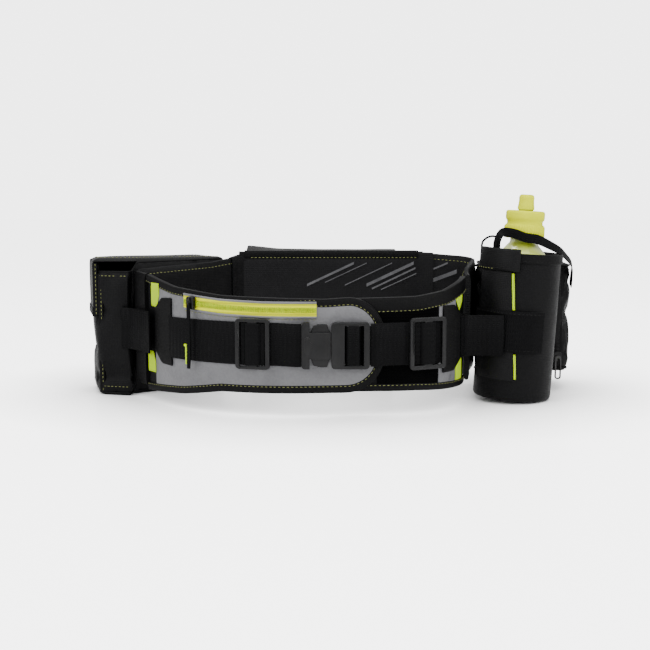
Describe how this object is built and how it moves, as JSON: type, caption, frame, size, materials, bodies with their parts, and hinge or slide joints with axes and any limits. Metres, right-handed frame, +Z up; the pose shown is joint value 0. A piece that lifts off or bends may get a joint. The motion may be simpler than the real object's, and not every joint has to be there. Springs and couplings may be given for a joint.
{
  "type": "waist pack",
  "caption": "Sports waist pack: padded belt loop with side-release buckle, lidded side pouch, zipped wing pocket, rear pouch, and a leaning bottle holster with squeeze bottle.",
  "frame": {"origin": "centre of the whole pack's footprint, on the surface it stands on", "axes": "+Z up, +X to the right seen from the buckle side, +Y from the buckle towards the lumbar section"},
  "size_m": [0.5192, 0.2568, 0.2108],
  "materials": {
    "belt_fabric": "matt heavy woven nylon, black",
    "lining_fabric": "matt brushed lining, charcoal",
    "facing_fabric": "satin reflective grey coated fabric",
    "webbing": "ribbed black polyester webbing",
    "loop_pile": "black loop pile",
    "neon_trim": "fluorescent yellow tape",
    "buckle_plastic": "black acetal, satin gloss",
    "slider_metal": "black enamelled zip slider",
    "bottle_plastic": "translucent yellow squeeze plastic",
    "cap_plastic": "opaque fluorescent yellow plastic"
  },
  "bodies": {
    "lumbar": {"lumbar_panel": "belt_fabric", "lumbar_lining": "lining_fabric", "rear_pouch": "belt_fabric", "rear_closure_patch": "loop_pile"},
    "rear_lid": {"rear_pouch_lid": "belt_fabric"},
    "left_half": {"left_side_panel": "belt_fabric", "left_wing": "belt_fabric", "wing_facing": "facing_fabric", "front_zip_tape": "neon_trim", "left_trim_upper": "neon_trim", "left_trim_lower": "neon_trim", "left_anchor_tab": "webbing", "left_webbing": "webbing", "left_hip_band": "webbing", "buckle_socket": "buckle_plastic", "left_pouch": "belt_fabric"},
    "left_lid": {"left_pouch_lid": "belt_fabric", "left_lid_skirt": "belt_fabric"},
    "left_adjuster": {"left_glide": "buckle_plastic", "left_glide_webbing": "webbing"},
    "front_slider": {"front_zip_slider": "slider_metal"},
    "front_pull": {"front_zip_pull": "webbing", "front_pull_accent": "neon_trim"},
    "right_half": {"right_side_panel": "belt_fabric", "right_wing": "belt_fabric", "loop_patch": "loop_pile", "right_face_stripe": "facing_fabric", "right_trim_upper": "neon_trim", "right_trim_lower": "neon_trim", "right_anchor_tab": "webbing", "right_webbing": "webbing", "buckle_plug": "buckle_plastic", "bottle_holster": "belt_fabric", "holster_sleeve": "belt_fabric", "holster_collar": "belt_fabric", "sleeve_piping_upper": "neon_trim", "sleeve_piping_lower": "neon_trim", "holster_band": "webbing", "neck_band": "webbing", "band_loop": "webbing", "zip_pouch": "belt_fabric", "pouch_zip_tape": "webbing"},
    "right_adjuster": {"right_glide": "buckle_plastic", "right_glide_webbing": "webbing"},
    "prong_upper": {"buckle_prong_upper": "buckle_plastic"},
    "prong_lower": {"buckle_prong_lower": "buckle_plastic"},
    "bottle": {"bottle_body": "bottle_plastic"},
    "cap": {"bottle_cap": "cap_plastic"},
    "valve": {"bottle_valve": "cap_plastic"},
    "pouch_slider": {"pouch_zip_slider": "slider_metal"},
    "pouch_pull": {"pouch_zip_pull": "slider_metal"}
  },
  "joints": [
    {"name": "open_left", "type": "hinge", "parent": "lumbar", "child": "left_half", "pos_m": [-0.09836, 0.0802, 0.09], "axis": [0, 0, -1], "range_deg": [0, 40]},
    {"name": "open_right", "type": "hinge", "parent": "lumbar", "child": "right_half", "pos_m": [0.10664, 0.0802, 0.09], "axis": [0, 0, 1], "range_deg": [0, 40]},
    {"name": "rear_lid_open", "type": "hinge", "parent": "lumbar", "child": "rear_lid", "pos_m": [-0.00236, 0.0827, 0.147], "axis": [1, 0, 0], "range_deg": [0, 115]},
    {"name": "left_lid_open", "type": "hinge", "parent": "left_half", "child": "left_lid", "pos_m": [-0.20486, 0.0037, 0.1403], "axis": [0.8057, 0.5923, 0], "range_deg": [0, 95]},
    {"name": "left_adjust", "type": "hinge", "parent": "left_half", "child": "left_adjuster", "pos_m": [-0.02236, 0.0752, 0.0705], "axis": [0, 0, 1], "range_deg": [-9, 0]},
    {"name": "right_adjust", "type": "hinge", "parent": "right_half", "child": "right_adjuster", "pos_m": [0.05797, -0.02527, 0.0705], "axis": [0, 0, 1], "range_deg": [-8, 0]},
    {"name": "front_zip", "type": "hinge", "parent": "left_half", "child": "front_slider", "pos_m": [-0.02236, 0.0752, 0.1035], "axis": [0, 0, 1], "range_deg": [0, 30]},
    {"name": "front_pull_swing", "type": "hinge", "parent": "front_slider", "child": "front_pull", "pos_m": [-0.13435, -0.09039, 0.106], "axis": [0.8284, -0.5602, 0], "range_deg": [-110, 0]},
    {"name": "prong_squeeze_upper", "type": "hinge", "parent": "right_half", "child": "prong_upper", "pos_m": [0.00244, -0.1239, 0.08], "axis": [0, -1, 0], "range_deg": [0, 4.5], "stiffness_Nm_per_rad": 0.6},
    {"name": "prong_squeeze_lower", "type": "hinge", "parent": "right_half", "child": "prong_lower", "pos_m": [0.00244, -0.1239, 0.061], "axis": [0, 1, 0], "range_deg": [0, 4.5], "stiffness_Nm_per_rad": 0.6},
    {"name": "bottle_lift", "type": "slide", "parent": "right_half", "child": "bottle", "axis": [0.0576, 0, 0.9983], "range_m": [0, 0.155], "deforming": ["neck_band"]},
    {"name": "cap_turn", "type": "hinge", "parent": "bottle", "child": "cap", "pos_m": [0.19164, -0.0168, 0.0023], "axis": [0.0576, 0, 0.9983], "continuous": true},
    {"name": "valve_pull", "type": "slide", "parent": "cap", "child": "valve", "axis": [0.0576, 0, 0.9983], "range_m": [0, 0.007]},
    {"name": "pouch_zip", "type": "slide", "parent": "right_half", "child": "pouch_slider", "axis": [0, 0, 1], "range_m": [0, 0.085]},
    {"name": "pouch_pull_swing", "type": "hinge", "parent": "pouch_slider", "child": "pouch_pull", "pos_m": [0.24764, 0.0202, 0.037], "axis": [1, 0, 0], "range_deg": [-110, 0]}
  ],
  "couplings": [
    {"joint": "open_right", "follows": "open_left", "ratio": 1},
    {"joint": "prong_squeeze_lower", "follows": "prong_squeeze_upper", "ratio": 1}
  ]
}
